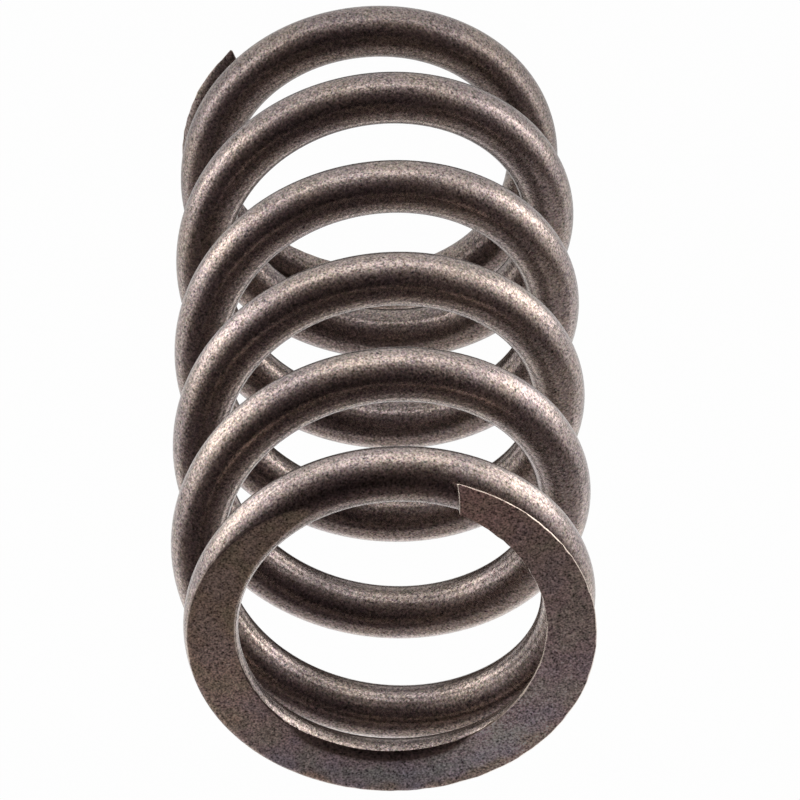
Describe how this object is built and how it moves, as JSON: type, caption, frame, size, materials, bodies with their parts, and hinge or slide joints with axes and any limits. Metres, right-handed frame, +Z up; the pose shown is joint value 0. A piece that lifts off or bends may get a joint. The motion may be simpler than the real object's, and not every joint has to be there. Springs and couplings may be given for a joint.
{
  "type": "engine valve spring",
  "caption": "Right-handed helical compression spring of round wire for an engine valve, with closed ends ground flat.",
  "frame": {"origin": "centre of the lower ground face, on the coil axis", "axes": "+Z up along the coil axis, from the lower ground face to the upper; the upper tip ends 111 degrees clockwise from +X, seen from above"},
  "size_m": [0.032, 0.032, 0.062],
  "materials": {
    "spring_steel": "shot-peened and heat-tinted to a dark bronze brown, satin"
  },
  "bodies": {
    "root": {"valve_spring": "spring_steel"}
  },
  "joints": []
}
